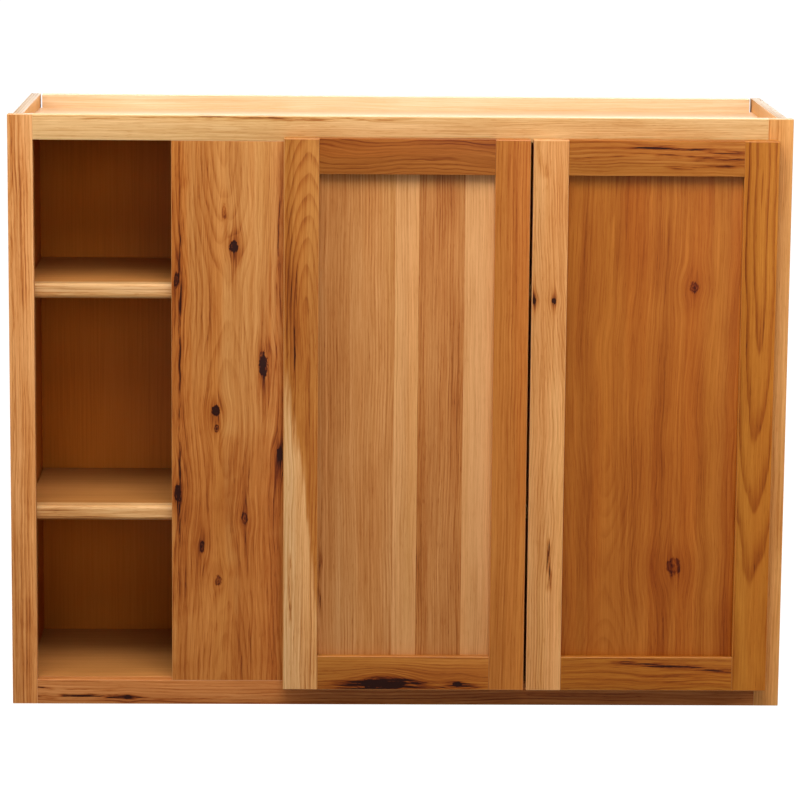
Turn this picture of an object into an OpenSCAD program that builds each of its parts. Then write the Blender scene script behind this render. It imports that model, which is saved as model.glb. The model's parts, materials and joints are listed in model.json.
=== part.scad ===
// Face-frame wall cabinet with an open blind-corner bay, a wide blind stile and a
// pair of frame-and-panel doors on concealed single-pivot cup hinges.
// X runs along the wall, Y runs back into the wall and Z runs up. The origin is in the
// middle of the back of the upper hanging rail. The sizes below are measured across from
// the middle, back from the wall at Y = 0 and up from the underside of the cabinet, and
// the module piece lowers each piece to put the origin in its place.

/* [Cabinet] */
// Width over the face frame
cabinet_w = 990.6; // [940:0.1:1100]
// Height of the sides and the face frame
cabinet_h = 762; // [750:0.1:800]
// Depth from the wall to the front of the face frame
cabinet_d = 304.8; // [280:0.1:330]

/* [Face frame] */
// Thickness of the face frame
frame_t = 19.05; // [18:0.05:20]
// Width of the outer stiles and of the rails
frame_w = 31.75; // [31:0.05:38]
// Clear width of the open bay beside the blind stile
open_bay_w = 174; // [150:1:200]
// Width of the blind stile between the open bay and the doors
blind_stile_w = 155; // [120:1:180]
// How far the face frame stands proud of each side
frame_overhang = 6.35; // [5:0.05:8]

/* [Carcass] */
// Thickness of the sides, the top and the bottom
ply_t = 12.7; // [12:0.1:13]
// Thickness of the back
back_t = 6.35; // [6:0.05:7]
// Depth of the recess above the top panel
top_drop = 17.5; // [16:0.5:19]
// Depth of the dadoes in the sides
dado = 6; // [5:0.5:6]
// Height of each hanging rail
hang_h = 88.9; // [75:0.1:110]
// Thickness of each hanging rail
hang_t = 19.05; // [18:0.05:20]
// Gap at each end of a hanging rail
hang_gap = 3; // [1:0.5:3]

/* [Shelves] */
// Thickness of the shelves
shelf_t = 19.05; // [18:0.05:20]
// Height of the top face of the upper shelf
upper_shelf_z = 544.8; // [500:0.1:580]
// Height of the top face of the lower shelf
lower_shelf_z = 256.8; // [220:0.1:300]
// Depth of the solid nosing on the front of a shelf
nosing_d = 19; // [15:1:25]
// Gap at each end of a shelf
shelf_gap = 1.75; // [1.5:0.05:2.5]

/* [Doors] */
// Height of the doors
door_h = 711; // [705:1:715]
// Height of the lower edge of the doors
door_z = 25; // [23:1:28]
// Thickness of the doors
door_t = 19.05; // [19:0.05:20]
// Width of the stiles and rails of a door
door_member_w = 44.45; // [44:0.05:60]
// Depth of the panel face behind the front of the door
panel_recess = 9.5; // [7:0.5:9.5]
// Thickness of the door panels
panel_t = 6.35; // [5:0.05:6.5]
// Gap between the two doors
door_gap = 3.4; // [2:0.1:5]

/* [Hanging screws] */
// Pitch of the hanging screw holes, which is the pitch of wall studs
stud_pitch = 406.4; // [350:0.1:450]
// Diameter of the hanging screw holes
hang_hole_d = 5; // [4:0.5:6]
// Height of the lower row of hanging screw holes
hang_low_z = 60; // [50:1:70]
// Height of the upper row of hanging screw holes
hang_high_z = 702; // [695:1:710]

/* [Hidden] */
$fn = 64;

// Colours of the materials
hickory = "BurlyWood";
heartwood = "Peru";
maple = "Wheat";
steel = "Silver";
zinc = "Goldenrod";
clear = "WhiteSmoke";
beech = "Tan";

// Places across the cabinet
half_w = cabinet_w / 2;
side_out = half_w - frame_overhang;
side_in = side_out - ply_t;
blind_left = -half_w + frame_w + open_bay_w;
blind_right = blind_left + blind_stile_w;
bay_right = half_w - frame_w;

// Places through the depth
front = -cabinet_d;
frame_back = front + frame_t;
hang_front = -hang_t;
back_front = hang_front - back_t;

// Places up the height
rail_z = cabinet_h - frame_w;
top_z = cabinet_h - top_drop;
bottom_z = frame_w;

// Grooves for the back in the top and bottom panels
back_groove = 4;
frame_groove = 6.35;

// Doors
door_overlay = 12.7;
door_standoff = 2.6;
door_back = front - door_standoff;
door_front = door_back - door_t;
door_groove = 6;
door_w = (bay_right - blind_right + 2 * door_overlay - door_gap) / 2;
door_top = door_z + door_h;
panel_front = door_front + panel_recess;
groove_slack = 0.5;
tongue_slack = 0.1;

// Concealed hinges, placed from the corner of the stile that they are fixed to:
// X = 0 on the edge of the stile, Y = 0 on its front, and the stile at +X
cup_r = 17.45;
cup_bore_r = 17.5;
cup_depth = 12.4;
cup_wall = 0.7;
cup_tab = 2.5;
cup_x = door_overlay - cup_tab - cup_bore_r;
pivot_x = door_overlay - 6.8;
pivot_y = -11.6;
pin_r = 1.2;
pin_fit = 0.05;
knuckle_r = 2.1;
arm_half = 6;
arm_t = 2;
arm_x = -6.2;
plate_t = 6.2;
flange_t = 1;
hinge_inset = 75;
cup_screw_pitch = 45;
cup_screw_x = cup_x - 9.5;
plate_screw_pitch = 22;
plate_screw_y = 8;

// Fasteners
dowel_r = 3;
dowel_l = 30;
dowel_y = front + 8;
screw_r = 1.9;
screw_fit = 0.05;

// Shelf pins stand in three holes for each shelf and end
pin_hole_r = 2.5;
pin_hole_depth = 9;
pin_step = 32;
pin_drop = 4.5;
pin_front_y = frame_back + 37;
pin_back_y = back_front - 40;
shelf_front = frame_back + 3;
shelf_back = back_front - 3;

// One piece in its colour, lowered so that the origin is behind the upper hanging rail
module piece(c) {
    color(c) translate([0, 0, hang_h / 2 - cabinet_h]) children();
}

// A cube given by its lowest and highest corners
module box(lo, hi) {
    translate(lo) cube(hi - lo);
}

// A cylinder along X that starts at the point p and runs towards +X
module rod_x(p, r, l) {
    translate(p) rotate([0, 90, 0]) cylinder(r = r, h = l);
}

// A cylinder along Y that starts at the point p and runs towards +Y
module rod_y(p, r, l) {
    translate(p) rotate([-90, 0, 0]) cylinder(r = r, h = l);
}

// A countersunk screw along +X with the middle of its head at the point p
module screw_x(p, l, fit = 0) {
    head_r = 4 + fit;
    translate(p) rotate([0, 90, 0]) union() {
        cylinder(r1 = head_r, r2 = screw_r + fit, h = 2.6);
        cylinder(r = screw_r + fit, h = l + fit);
    }
}

// Puts its children at one hinge: side is 1 for the right door and -1 for the left one
module at_hinge(side, z) {
    edge = side > 0 ? bay_right : blind_right;
    translate([edge, front, z]) mirror([side > 0 ? 0 : 1, 0, 0]) children();
}

function hinge_z(upper) = upper ? door_top - hinge_inset : door_z + hinge_inset;

// ---------------------------------------------------------------- face frame

// The dowels of the frame: each entry is a point and the axis it runs along
dowel_pitch = 14;
blind_dowel_pitch = 100;
rail_mid_low = frame_w / 2;
rail_mid_high = cabinet_h - frame_w / 2;
blind_mid = (blind_left + blind_right) / 2;

module dowel_set(r, l) {
    for (side = [-1, 1], z = [rail_mid_low, rail_mid_high], s = [-0.5, 0.5]) {
        rod_x([side * bay_right - l / 2, dowel_y, z + s * dowel_pitch], r, l);
    }
    for (z = [frame_w, rail_z], s = [-0.5, 0.5]) {
        translate([blind_mid + s * blind_dowel_pitch, dowel_y, z - l / 2])
            cylinder(r = r, h = l);
    }
}

module dowel_holes() {
    dowel_set(dowel_r + 0.05, dowel_l + 2);
}

module outer_stile(side) {
    piece(side < 0 ? heartwood : hickory) difference() {
        box([side < 0 ? -half_w : bay_right, front, 0],
            [side < 0 ? -bay_right : half_w, frame_back, cabinet_h]);
        dowel_holes();
        // Groove that takes the front edge of the side
        box([side < 0 ? -side_out : side_in, frame_back - frame_groove, -1],
            [side < 0 ? -side_in : side_out, frame_back + 1, cabinet_h + 1]);
        for (upper = [false, true]) {
            at_hinge(1, hinge_z(upper)) plate_screws(screw_fit);
        }
    }
}

module frame_left_stile() {
    outer_stile(-1);
}

module frame_right_stile() {
    outer_stile(1);
}

module frame_rail(z) {
    piece(hickory) difference() {
        box([-bay_right, front, z], [bay_right, frame_back, z + frame_w]);
        dowel_holes();
    }
}

module frame_top_rail() {
    frame_rail(rail_z);
}

module frame_bottom_rail() {
    frame_rail(0);
}

module blind_stile() {
    piece(heartwood) difference() {
        box([blind_left, front, frame_w], [blind_right, frame_back, rail_z]);
        dowel_holes();
        for (upper = [false, true]) {
            at_hinge(-1, hinge_z(upper)) plate_screws(screw_fit);
        }
    }
}

module frame_dowels() {
    piece(beech) dowel_set(dowel_r, dowel_l);
}

// ------------------------------------------------------------------- carcass

screw_l = 38;
screw_ys = [frame_back + 41, (frame_back + back_front) / 2, back_front - 34];
top_screw_z = top_z - ply_t / 2;
bottom_screw_z = bottom_z - ply_t / 2;

module carcass_screw_set(fit = 0) {
    for (side = [-1, 1], y = screw_ys, z = [top_screw_z, bottom_screw_z]) {
        mirror([side < 0 ? 0 : 1, 0, 0]) screw_x([-side_out, y, z], screw_l, fit);
    }
}

// Holes for the pins at three heights round the underside of each shelf
module pin_holes(side) {
    for (top = [upper_shelf_z, lower_shelf_z], y = [pin_front_y, pin_back_y], n = [-1 : 1]) {
        z = top - shelf_t - pin_drop + n * pin_step;
        rod_x([side < 0 ? -side_in - pin_hole_depth : side_in, y, z], pin_hole_r,
              pin_hole_depth);
    }
}

module side_board(side) {
    piece(maple) difference() {
        box([side < 0 ? -side_out : side_in, frame_back - frame_groove, 0],
            [side < 0 ? -side_in : side_out, 0, cabinet_h]);
        // Dadoes for the top and the bottom
        for (z = [top_z, bottom_z]) {
            box([side < 0 ? -side_in - dado : side_in - 1, frame_back, z - ply_t],
                [side < 0 ? -side_in + 1 : side_in + dado, hang_front, z]);
        }
        // Groove for the back
        box([side < 0 ? -side_in - dado : side_in - 1, back_front, bottom_z - back_groove],
            [side < 0 ? -side_in + 1 : side_in + dado, hang_front,
             top_z - ply_t + back_groove]);
        pin_holes(side);
        carcass_screw_set(screw_fit);
    }
}

module left_side() {
    side_board(-1);
}

module right_side() {
    side_board(1);
}

module level_panel(z, groove_z) {
    piece(maple) difference() {
        box([-side_in - dado, frame_back, z - ply_t], [side_in + dado, hang_front, z]);
        // Groove for the edge of the back, open towards the hanging rail
        box([-side_in - dado - 1, back_front, groove_z],
            [side_in + dado + 1, hang_front + 1, groove_z + back_groove]);
        carcass_screw_set(screw_fit);
        rail_screw_set(screw_fit);
    }
}

module top_panel() {
    level_panel(top_z, top_z - ply_t);
}

module bottom_panel() {
    level_panel(bottom_z, bottom_z - back_groove);
}

module hang_holes() {
    for (side = [-0.5, 0.5], z = [hang_low_z, hang_high_z]) {
        rod_y([side * stud_pitch, back_front - 1, z], hang_hole_d / 2,
              back_t + hang_t + 2);
    }
}

module back_panel() {
    piece(maple) difference() {
        box([-side_in - dado, back_front, bottom_z - back_groove],
            [side_in + dado, hang_front, top_z - ply_t + back_groove]);
        hang_holes();
    }
}

// Screws through the hanging rails into the back edges of the top and the bottom
rail_screw_l = 42;
rail_screw_xs = [-400, -135, 135, 400];
rail_screw_top_z = top_z - 6;
rail_screw_bottom_z = bottom_z - 7.6;

module rail_screw_set(fit = 0) {
    for (x = rail_screw_xs, z = [rail_screw_top_z, rail_screw_bottom_z]) {
        translate([x, 0, z]) rotate([0, 0, -90]) screw_x([0, 0, 0], rail_screw_l, fit);
    }
}

module hanging_rail(z) {
    piece(beech) difference() {
        box([-side_in + hang_gap, hang_front, z], [side_in - hang_gap, 0, z + hang_h]);
        hang_holes();
        rail_screw_set(screw_fit);
    }
}

module top_hanging_rail() {
    hanging_rail(cabinet_h - hang_h);
}

module bottom_hanging_rail() {
    hanging_rail(0);
}

module carcass_screws() {
    piece(zinc) carcass_screw_set();
}

module hanging_rail_screws() {
    piece(zinc) rail_screw_set();
}

// ------------------------------------------------------------------- shelves

nosing_r = 5;

module shelf_board(top) {
    piece(maple) box([-side_in + shelf_gap, shelf_front + nosing_d, top - shelf_t],
                     [side_in - shelf_gap, shelf_back, top]);
}

// Solid strip on the front of a shelf, with its two front edges rounded
module shelf_nosing(top) {
    bottom = top - shelf_t;
    l = 2 * (side_in - shelf_gap);
    piece(hickory) translate([-l / 2, 0, 0]) rotate([90, 0, 90]) linear_extrude(l) union() {
        translate([shelf_front + nosing_r, bottom])
            square([nosing_d - nosing_r, shelf_t]);
        translate([shelf_front, bottom + nosing_r])
            square([nosing_r, shelf_t - 2 * nosing_r]);
        for (z = [bottom + nosing_r, top - nosing_r]) {
            translate([shelf_front + nosing_r, z]) circle(r = nosing_r);
        }
    }
}

module upper_shelf() {
    shelf_board(upper_shelf_z);
}

module upper_shelf_nosing() {
    shelf_nosing(upper_shelf_z);
}

module lower_shelf() {
    shelf_board(lower_shelf_z);
}

module lower_shelf_nosing() {
    shelf_nosing(lower_shelf_z);
}

// One pin of the spoon kind: a barrel in the side, a collar and a flat tongue
module shelf_pin(under) {
    barrel_r = 2.45;
    collar_r = 4.2;
    collar_t = 1.2;
    tongue_l = 10;
    tongue_half = 4;
    tongue_t = 2.4;
    tongue_gap = 0.3;
    union() {
        rod_x([-8.5, 0, under - pin_drop], barrel_r, 9);
        rod_x([0, 0, under - pin_drop], collar_r, collar_t);
        box([0.5, -tongue_half, under - tongue_gap - tongue_t],
            [collar_t + tongue_l, tongue_half, under - tongue_gap]);
    }
}

module pin_set(top) {
    for (side = [-1, 1], y = [pin_front_y, pin_back_y]) {
        mirror([side < 0 ? 0 : 1, 0, 0]) translate([-side_in, y, 0])
            shelf_pin(top - shelf_t);
    }
}

module upper_shelf_pins() {
    piece(steel) pin_set(upper_shelf_z);
}

module lower_shelf_pins() {
    piece(steel) pin_set(lower_shelf_z);
}

// --------------------------------------------------------------------- doors
// A door is drawn for the right side, with its hinge edge at the larger X, and the
// left door is its mirror image about the middle of the gap between the doors.

doors_mid = (blind_right + bay_right) / 2;

module on_door(side) {
    translate([doors_mid, 0, 0]) mirror([side > 0 ? 0 : 1, 0, 0]) children();
}

door_free = door_gap / 2;
door_hinged = door_free + door_w;

module cup_bores() {
    for (upper = [false, true]) {
        translate([door_hinged - cup_tab - cup_bore_r, door_back, hinge_z(upper)])
            rotate([90, 0, 0]) cylinder(r = cup_bore_r, h = cup_depth + 0.1);
        for (s = [-0.5, 0.5]) {
            rod_y([door_hinged - door_overlay + cup_screw_x, door_back - cup_screw_l,
                   hinge_z(upper) + s * cup_screw_pitch], cup_screw_r + screw_fit,
                  cup_screw_l + 1);
        }
    }
}

module door_stile(hinged) {
    x0 = hinged ? door_hinged - door_member_w : door_free;
    groove_x = hinged ? x0 - 1 : x0 + door_member_w - door_groove;
    difference() {
        box([x0, door_front, door_z], [x0 + door_member_w, door_back, door_top]);
        box([groove_x, panel_front, door_z - 1],
            [groove_x + door_groove + 1, panel_front + panel_t, door_top + 1]);
        if (hinged) cup_bores();
    }
}

module door_rail(upper) {
    z0 = upper ? door_top - door_member_w : door_z;
    x0 = door_free + door_member_w;
    x1 = door_hinged - door_member_w;
    groove_z = upper ? z0 - 1 : z0 + door_member_w - door_groove;
    difference() {
        union() {
            box([x0, door_front, z0], [x1, door_back, z0 + door_member_w]);
            // Tongues in the grooves of the stiles
            box([x0 - door_groove + groove_slack, panel_front + tongue_slack, z0],
                [x1 + door_groove - groove_slack, panel_front + panel_t - tongue_slack,
                 z0 + door_member_w]);
        }
        box([x0 - door_groove - 1, panel_front, groove_z],
            [x1 + door_groove + 1, panel_front + panel_t, groove_z + door_groove + 1]);
    }
}

module door_panel() {
    inset = door_member_w - door_groove + groove_slack;
    box([door_free + inset, panel_front, door_z + inset],
        [door_hinged - inset, panel_front + panel_t - tongue_slack, door_top - inset]);
}

// Bumpers on the back of the free stile
bumper_r = 4;
bumper_t = 2.3;

module door_bumpers() {
    for (z = [door_z + bumper_r + 0.5, door_top - bumper_r - 0.5]) {
        rod_y([door_free + 10, door_back, z], bumper_r, bumper_t);
    }
}

module left_door_hinge_stile() {
    piece(heartwood) on_door(-1) door_stile(true);
}

module left_door_free_stile() {
    piece(heartwood) on_door(-1) door_stile(false);
}

module left_door_top_rail() {
    piece(heartwood) on_door(-1) door_rail(true);
}

module left_door_bottom_rail() {
    piece(heartwood) on_door(-1) door_rail(false);
}

module left_door_panel() {
    piece(hickory) on_door(-1) door_panel();
}

module left_door_bumpers() {
    piece(clear) on_door(-1) door_bumpers();
}

module right_door_hinge_stile() {
    piece(heartwood) on_door(1) door_stile(true);
}

module right_door_free_stile() {
    piece(hickory) on_door(1) door_stile(false);
}

module right_door_top_rail() {
    piece(heartwood) on_door(1) door_rail(true);
}

module right_door_bottom_rail() {
    piece(heartwood) on_door(1) door_rail(false);
}

module right_door_panel() {
    piece(heartwood) on_door(1) door_panel();
}

module right_door_bumpers() {
    piece(clear) on_door(1) door_bumpers();
}

// -------------------------------------------------------------------- hinges

cup_screw_r = 1.6;
cup_screw_l = 9;

// Cup that is pressed into the back of the door, with its flange and two ears
module hinge_cup() {
    mouth_y = -door_standoff;
    floor_y = mouth_y - cup_depth + cup_wall;
    cheek_z = arm_half + 0.35;
    cheek_l = 8;
    ear_half_w = 5.5;
    ear_half_l = 28;
    flange_r = 18.2;
    difference() {
        union() {
            translate([cup_x, mouth_y, 0]) rotate([90, 0, 0])
                cylinder(r = cup_r, h = cup_depth);
            rod_y([cup_x, mouth_y, 0], flange_r, flange_t);
            box([cup_screw_x - ear_half_w, mouth_y, -ear_half_l],
                [cup_screw_x + ear_half_w, mouth_y + flange_t, ear_half_l]);
        }
        difference() {
            rod_y([cup_x, floor_y, 0], cup_r - cup_wall, cup_depth + flange_t);
            // Cheeks on either side of the arm that hold the ends of the pin
            for (s = [-1, 1]) translate([0, 0, s * (cheek_z + cheek_l / 2)])
                box([pivot_x - 2.6, floor_y - 1, -cheek_l / 2],
                    [cup_x + cup_r, pivot_y + 2.6, cheek_l / 2]);
        }
        for (s = [-0.5, 0.5]) {
            rod_y([cup_screw_x, mouth_y - 1, s * cup_screw_pitch],
                  cup_screw_r + screw_fit, 3);
        }
        translate([pivot_x, pivot_y, -pin_half]) cylinder(r = pin_r + 0.02, h = 2 * pin_half);
    }
}

// The pin runs through the arm, with both ends in the cheeks of the cup
pin_half = 8.4;

module hinge_pin() {
    translate([pivot_x, pivot_y, -pin_half]) cylinder(r = pin_r, h = 2 * pin_half);
}

// Arm from the pin, round the corner of the stile, to the plate on the stile's edge
module hinge_arm() {
    arm_back = 15;
    difference() {
        translate([0, 0, -arm_half]) linear_extrude(2 * arm_half) union() {
            translate([pivot_x, pivot_y]) circle(r = knuckle_r);
            polygon([
                [pivot_x, pivot_y + 1.1],
                [pivot_x - 10, pivot_y - 0.5],
                [arm_x, pivot_y - 0.5],
                [arm_x, arm_back],
                [arm_x - arm_t, arm_back],
                [arm_x - arm_t, pivot_y - 2.1],
                [pivot_x - 9, pivot_y - 2.1],
                [pivot_x, pivot_y - 2]
            ]);
        }
        translate([pivot_x, pivot_y, -arm_half - 1])
            cylinder(r = pin_r + pin_fit, h = 2 * arm_half + 2);
        rod_x([arm_x - arm_t - 1, arm_screw_y, 0], arm_screw_r + screw_fit, arm_t + 2);
    }
}

arm_screw_y = 9.5;
arm_screw_r = 2;

// Screw that clamps the arm to the plate, with a low round head and a cross slot
module arm_screw(fit = 0) {
    head_r = 3.6;
    head_t = 1.8;
    slot_w = 0.8;
    head_x = arm_x - arm_t;
    difference() {
        union() {
            rod_x([head_x, arm_screw_y, 0], arm_screw_r + fit, arm_t + 5.5 + fit);
            if (fit == 0) rod_x([head_x - head_t, arm_screw_y, 0], head_r, head_t);
        }
        if (fit == 0) for (turn = [0, 90]) {
            translate([head_x - head_t, arm_screw_y, 0]) rotate([turn, 0, 0])
                box([-1, -slot_w / 2, -2.4], [0.9, slot_w / 2, 2.4]);
        }
    }
}

module plate_screws(fit = 0) {
    for (s = [-0.5, 0.5]) {
        screw_x([-plate_t, plate_screw_y, s * plate_screw_pitch], 20, fit);
    }
}

module hinge_plate() {
    plate_half = 17;
    difference() {
        box([-plate_t, 1, -plate_half], [0, 18, plate_half]);
        plate_screws(screw_fit);
        arm_screw(screw_fit);
    }
}

module cup_screws(side) {
    head_r = 3;
    head_t = 0.5;
    for (upper = [false, true], s = [-0.5, 0.5]) {
        at_hinge(side, hinge_z(upper)) translate([0, 0, s * cup_screw_pitch]) union() {
            rod_y([cup_screw_x, -door_standoff - cup_screw_l + 0.5, 0], cup_screw_r,
                  cup_screw_l + 0.6);
            rod_y([cup_screw_x, -door_standoff + flange_t, 0], head_r, head_t);
        }
    }
}

module left_upper_hinge_cup() {
    piece(steel) at_hinge(-1, hinge_z(true)) hinge_cup();
}

module left_upper_hinge_pin() {
    piece(steel) at_hinge(-1, hinge_z(true)) hinge_pin();
}

module left_upper_hinge_arm() {
    piece(steel) at_hinge(-1, hinge_z(true)) hinge_arm();
}

module left_upper_hinge_plate() {
    piece(steel) at_hinge(-1, hinge_z(true)) hinge_plate();
}

module left_lower_hinge_cup() {
    piece(steel) at_hinge(-1, hinge_z(false)) hinge_cup();
}

module left_lower_hinge_pin() {
    piece(steel) at_hinge(-1, hinge_z(false)) hinge_pin();
}

module left_lower_hinge_arm() {
    piece(steel) at_hinge(-1, hinge_z(false)) hinge_arm();
}

module left_lower_hinge_plate() {
    piece(steel) at_hinge(-1, hinge_z(false)) hinge_plate();
}

module right_upper_hinge_cup() {
    piece(steel) at_hinge(1, hinge_z(true)) hinge_cup();
}

module right_upper_hinge_pin() {
    piece(steel) at_hinge(1, hinge_z(true)) hinge_pin();
}

module right_upper_hinge_arm() {
    piece(steel) at_hinge(1, hinge_z(true)) hinge_arm();
}

module right_upper_hinge_plate() {
    piece(steel) at_hinge(1, hinge_z(true)) hinge_plate();
}

module right_lower_hinge_cup() {
    piece(steel) at_hinge(1, hinge_z(false)) hinge_cup();
}

module right_lower_hinge_pin() {
    piece(steel) at_hinge(1, hinge_z(false)) hinge_pin();
}

module right_lower_hinge_arm() {
    piece(steel) at_hinge(1, hinge_z(false)) hinge_arm();
}

module right_lower_hinge_plate() {
    piece(steel) at_hinge(1, hinge_z(false)) hinge_plate();
}

module left_door_cup_screws() {
    piece(steel) cup_screws(-1);
}

module right_door_cup_screws() {
    piece(steel) cup_screws(1);
}

module hinge_plate_screws() {
    piece(steel) for (side = [-1, 1], upper = [false, true]) {
        at_hinge(side, hinge_z(upper)) plate_screws();
    }
}

module hinge_arm_screws() {
    piece(steel) for (side = [-1, 1], upper = [false, true]) {
        at_hinge(side, hinge_z(upper)) arm_screw();
    }
}

// --------------------------------------------------------------------- nodes

frame_left_stile();
frame_right_stile();
frame_top_rail();
frame_bottom_rail();
blind_stile();
frame_dowels();
left_side();
right_side();
top_panel();
bottom_panel();
back_panel();
top_hanging_rail();
bottom_hanging_rail();
carcass_screws();
hanging_rail_screws();
upper_shelf();
upper_shelf_nosing();
lower_shelf();
lower_shelf_nosing();
upper_shelf_pins();
lower_shelf_pins();
left_door_hinge_stile();
left_door_free_stile();
left_door_top_rail();
left_door_bottom_rail();
left_door_panel();
left_door_bumpers();
right_door_hinge_stile();
right_door_free_stile();
right_door_top_rail();
right_door_bottom_rail();
right_door_panel();
right_door_bumpers();
left_upper_hinge_cup();
left_upper_hinge_pin();
left_upper_hinge_arm();
left_upper_hinge_plate();
left_lower_hinge_cup();
left_lower_hinge_pin();
left_lower_hinge_arm();
left_lower_hinge_plate();
right_upper_hinge_cup();
right_upper_hinge_pin();
right_upper_hinge_arm();
right_upper_hinge_plate();
right_lower_hinge_cup();
right_lower_hinge_pin();
right_lower_hinge_arm();
right_lower_hinge_plate();
left_door_cup_screws();
right_door_cup_screws();
hinge_plate_screws();
hinge_arm_screws();
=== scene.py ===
import json
import math

import bmesh
import bpy
from mathutils import Matrix, Vector


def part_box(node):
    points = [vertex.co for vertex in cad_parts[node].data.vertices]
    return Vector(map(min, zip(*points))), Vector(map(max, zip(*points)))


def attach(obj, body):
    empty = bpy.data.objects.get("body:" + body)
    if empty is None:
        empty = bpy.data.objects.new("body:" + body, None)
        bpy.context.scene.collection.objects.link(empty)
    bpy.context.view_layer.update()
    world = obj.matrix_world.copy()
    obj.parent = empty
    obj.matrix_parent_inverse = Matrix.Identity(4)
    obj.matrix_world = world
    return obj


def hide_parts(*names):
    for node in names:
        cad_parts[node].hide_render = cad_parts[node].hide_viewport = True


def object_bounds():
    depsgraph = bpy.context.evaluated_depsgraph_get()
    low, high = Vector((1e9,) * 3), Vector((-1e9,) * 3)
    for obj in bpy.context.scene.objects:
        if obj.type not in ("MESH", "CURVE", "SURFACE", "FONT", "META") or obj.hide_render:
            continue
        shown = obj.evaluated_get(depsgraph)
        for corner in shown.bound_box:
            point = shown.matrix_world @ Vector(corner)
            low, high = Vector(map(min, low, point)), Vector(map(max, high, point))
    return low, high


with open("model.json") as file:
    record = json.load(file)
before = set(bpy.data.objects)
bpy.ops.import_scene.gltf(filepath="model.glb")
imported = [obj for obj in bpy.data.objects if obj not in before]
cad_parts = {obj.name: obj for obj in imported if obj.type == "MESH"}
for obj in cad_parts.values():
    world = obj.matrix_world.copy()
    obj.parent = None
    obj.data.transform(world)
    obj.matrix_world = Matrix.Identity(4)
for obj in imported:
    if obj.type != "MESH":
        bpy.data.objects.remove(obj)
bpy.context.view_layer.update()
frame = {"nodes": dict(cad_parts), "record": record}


scene = bpy.context.scene
AXIS = {"x": 0, "y": 1, "z": 2}


def lin(code):
    """A colour as on screen, such as "C98A55", in the renderer's linear numbers."""
    c = [int(code[i : i + 2], 16) / 255 for i in (0, 2, 4)]
    return [v / 12.92 if v <= 0.04045 else ((v + 0.055) / 1.055) ** 2.4 for v in c] + [1.0]


# ---------------------------------------------------------------- node helper

SPECULAR = "Specular IOR Level"
WOOD_SPECULAR = 0.16
WOOD_ROUGHNESS = 0.35
VENEER_ROUGHNESS = 0.38
ROUGHNESS_SWING = 0.14  # how much the fine streaks of a wood add to its roughness


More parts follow.
